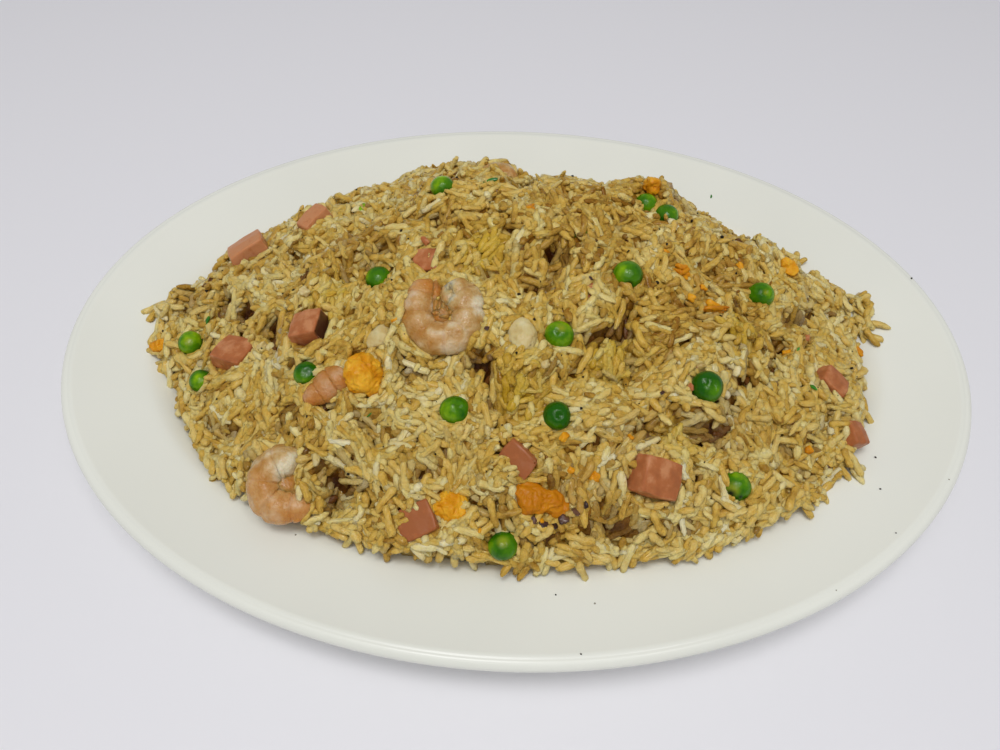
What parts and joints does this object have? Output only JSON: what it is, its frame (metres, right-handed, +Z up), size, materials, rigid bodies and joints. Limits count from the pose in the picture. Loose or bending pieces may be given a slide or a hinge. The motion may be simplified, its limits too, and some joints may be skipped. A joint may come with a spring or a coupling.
{
  "type": "fried rice plate",
  "caption": "Large white oval platter with a wide rim, heaped with fried rice that is mixed with green peas, diced ham, curled shrimps and bits of scrambled egg.",
  "frame": {"origin": "on the table under the middle of the platter, at the bottom of its foot ring", "axes": "+X along the platter's length, +Y along its width and away from the diner, +Z up"},
  "size_m": [0.305, 0.225, 0.0641],
  "materials": {
    "glazed_white": "glossy glaze",
    "fried_rice": "cooked long grain rice, thinly oiled",
    "green_pea": "cooked pea skin, oiled",
    "pink_ham": "cut ham, moist",
    "cooked_shrimp": "peeled cooked shrimp, moist",
    "yellow_egg": "fried egg curd, porous",
    "white_egg": "set egg white, moist"
  },
  "bodies": {
    "root": {"plate": "glazed_white", "rice": "fried_rice", "pea_1": "green_pea", "pea_2": "green_pea", "pea_3": "green_pea", "pea_4": "green_pea", "pea_5": "green_pea", "pea_6": "green_pea", "pea_7": "green_pea", "pea_8": "green_pea", "pea_9": "green_pea", "pea_10": "green_pea", "pea_11": "green_pea", "pea_12": "green_pea", "pea_13": "green_pea", "pea_14": "green_pea", "pea_15": "green_pea", "pea_16": "green_pea", "pea_17": "green_pea", "pea_18": "green_pea", "pea_19": "green_pea", "ham_1": "pink_ham", "ham_2": "pink_ham", "ham_3": "pink_ham", "ham_4": "pink_ham", "ham_5": "pink_ham", "ham_6": "pink_ham", "ham_7": "pink_ham", "ham_8": "pink_ham", "ham_9": "pink_ham", "ham_10": "pink_ham", "ham_11": "pink_ham", "ham_12": "pink_ham", "shrimp_1": "cooked_shrimp", "shrimp_2": "cooked_shrimp", "shrimp_3": "cooked_shrimp", "shrimp_4": "cooked_shrimp", "egg_1": "yellow_egg", "egg_2": "yellow_egg", "egg_3": "yellow_egg", "egg_4": "yellow_egg", "egg_5": "yellow_egg", "egg_6": "yellow_egg", "egg_7": "yellow_egg", "egg_8": "yellow_egg", "egg_9": "yellow_egg", "egg_white_1": "white_egg", "egg_white_2": "white_egg"}
  },
  "joints": []
}
